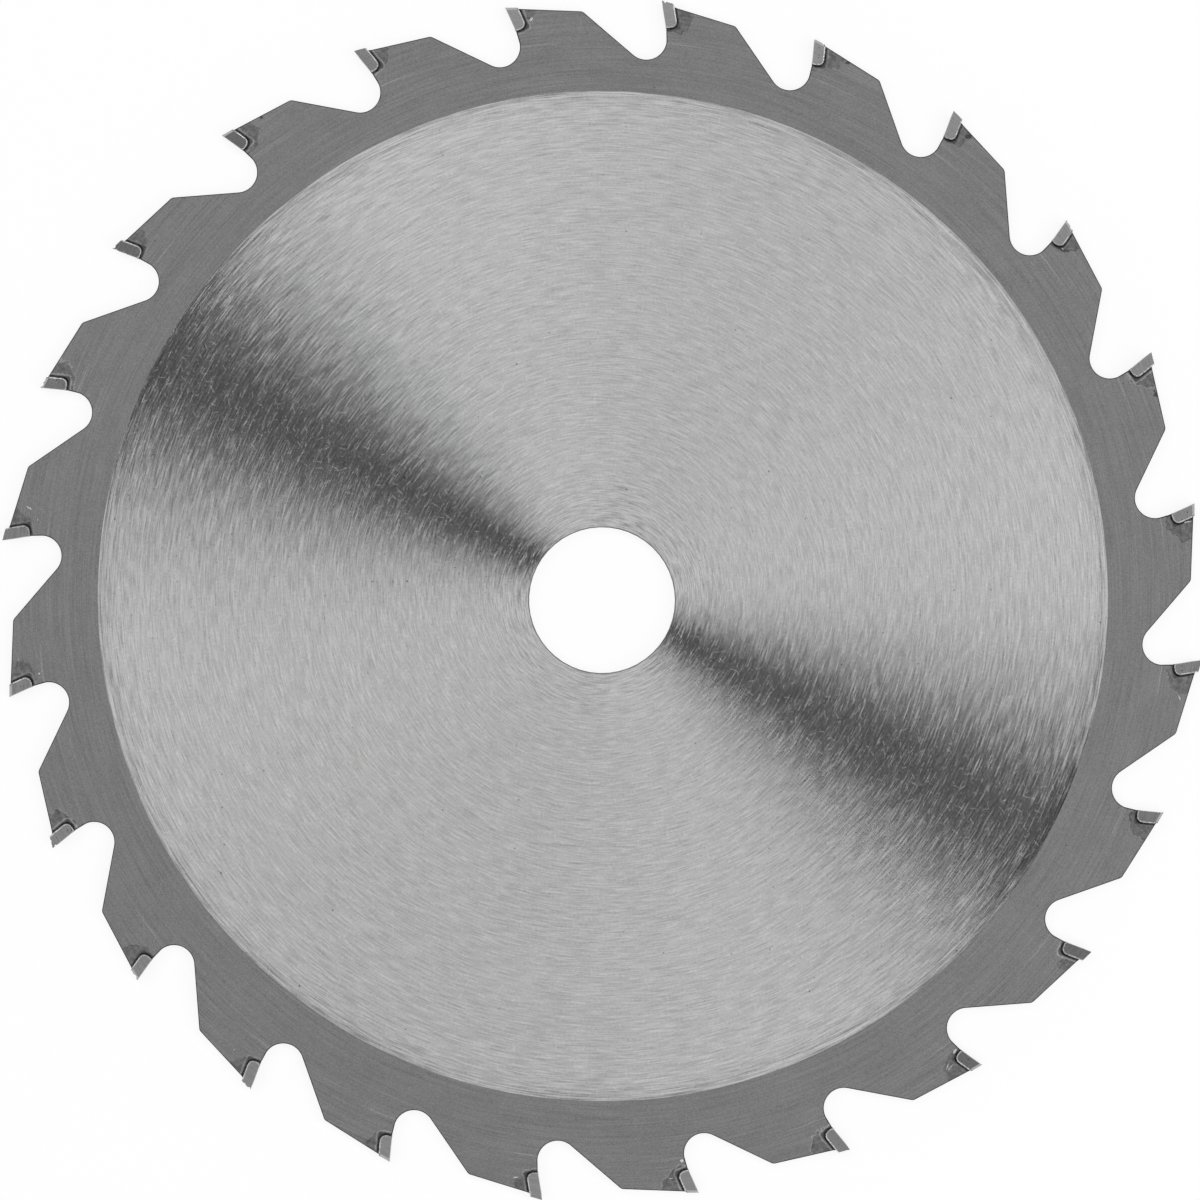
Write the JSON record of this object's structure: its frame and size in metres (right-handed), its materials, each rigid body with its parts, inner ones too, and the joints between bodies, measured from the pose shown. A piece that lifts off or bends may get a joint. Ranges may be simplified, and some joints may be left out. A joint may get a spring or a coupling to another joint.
{
  "type": "circular saw blade",
  "caption": "Flat round steel saw blade with a plain arbor bore, rounded gullets and brazed carbide tips whose top bevels alternate.",
  "frame": {"origin": "centre of the arbor bore, at the middle of the plate's thickness", "axes": "+Z along the bore's axis; X and Y in the plate's plane, the teeth turning towards +Y from +X"},
  "size_m": [0.1642, 0.1642, 0.0024],
  "materials": {
    "plate_steel": "bright ground disc with fine circular grinding lines, matt grey rim",
    "carbide": "ground sintered carbide, fine lines along the grind",
    "braze_metal": "pale silver braze, dull and stained at its fillet"
  },
  "bodies": {
    "root": {"blade_body": "plate_steel", "carbide_tip_01": "carbide", "carbide_tip_02": "carbide", "carbide_tip_03": "carbide", "carbide_tip_04": "carbide", "carbide_tip_05": "carbide", "carbide_tip_06": "carbide", "carbide_tip_07": "carbide", "carbide_tip_08": "carbide", "carbide_tip_09": "carbide", "carbide_tip_10": "carbide", "carbide_tip_11": "carbide", "carbide_tip_12": "carbide", "carbide_tip_13": "carbide", "carbide_tip_14": "carbide", "carbide_tip_15": "carbide", "carbide_tip_16": "carbide", "carbide_tip_17": "carbide", "carbide_tip_18": "carbide", "carbide_tip_19": "carbide", "carbide_tip_20": "carbide", "carbide_tip_21": "carbide", "carbide_tip_22": "carbide", "carbide_tip_23": "carbide", "carbide_tip_24": "carbide", "braze_01": "braze_metal", "braze_02": "braze_metal", "braze_03": "braze_metal", "braze_04": "braze_metal", "braze_05": "braze_metal", "braze_06": "braze_metal", "braze_07": "braze_metal", "braze_08": "braze_metal", "braze_09": "braze_metal", "braze_10": "braze_metal", "braze_11": "braze_metal", "braze_12": "braze_metal", "braze_13": "braze_metal", "braze_14": "braze_metal", "braze_15": "braze_metal", "braze_16": "braze_metal", "braze_17": "braze_metal", "braze_18": "braze_metal", "braze_19": "braze_metal", "braze_20": "braze_metal", "braze_21": "braze_metal", "braze_22": "braze_metal", "braze_23": "braze_metal", "braze_24": "braze_metal"}
  },
  "joints": []
}
